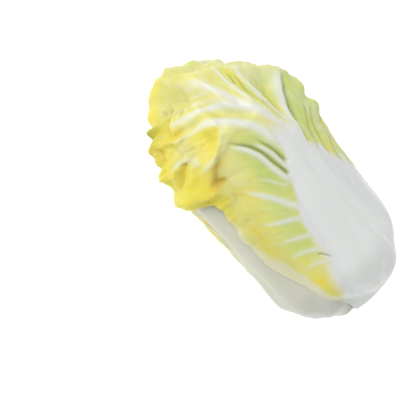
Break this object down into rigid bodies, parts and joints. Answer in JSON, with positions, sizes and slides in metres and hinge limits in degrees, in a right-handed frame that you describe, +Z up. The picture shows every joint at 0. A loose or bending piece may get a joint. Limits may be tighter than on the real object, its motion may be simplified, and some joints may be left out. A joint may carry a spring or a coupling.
{
  "type": "napa cabbage",
  "caption": "Whole head of napa cabbage lying on its side: broad white-ribbed leaves with frilled yellow-green blades wrapped round a closed heart.",
  "frame": {"origin": "under the middle of the head, on the surface it lies on", "axes": "+Z up, +X along the head from the crown to the cut stem, +Y to the outermost leaf's right, seen from outside with its tip up"},
  "size_m": [0.2878, 0.169, 0.1466],
  "materials": {
    "outer_leaf": "fresh leaf: glossy white midrib and veins, satin yellow-green blade, yellow frilled edge",
    "inner_leaf": "fresh leaf: white midrib, satin pale yellow blade",
    "heart_leaf": "fresh folded bud leaves, satin yellow",
    "cut_stem": "moist cut stem, off-white with faint rings of fibre"
  },
  "bodies": {
    "root": {"stem": "cut_stem", "heart": "heart_leaf", "leaf_01": "outer_leaf", "leaf_02": "outer_leaf", "leaf_03": "outer_leaf", "leaf_04": "outer_leaf", "leaf_05": "outer_leaf", "leaf_06": "outer_leaf", "leaf_07": "outer_leaf", "leaf_08": "outer_leaf", "leaf_09": "inner_leaf", "leaf_10": "inner_leaf", "leaf_11": "inner_leaf", "leaf_12": "inner_leaf", "leaf_13": "inner_leaf", "leaf_14": "inner_leaf", "leaf_15": "inner_leaf", "leaf_16": "inner_leaf", "leaf_17": "inner_leaf", "leaf_18": "inner_leaf"}
  },
  "joints": []
}
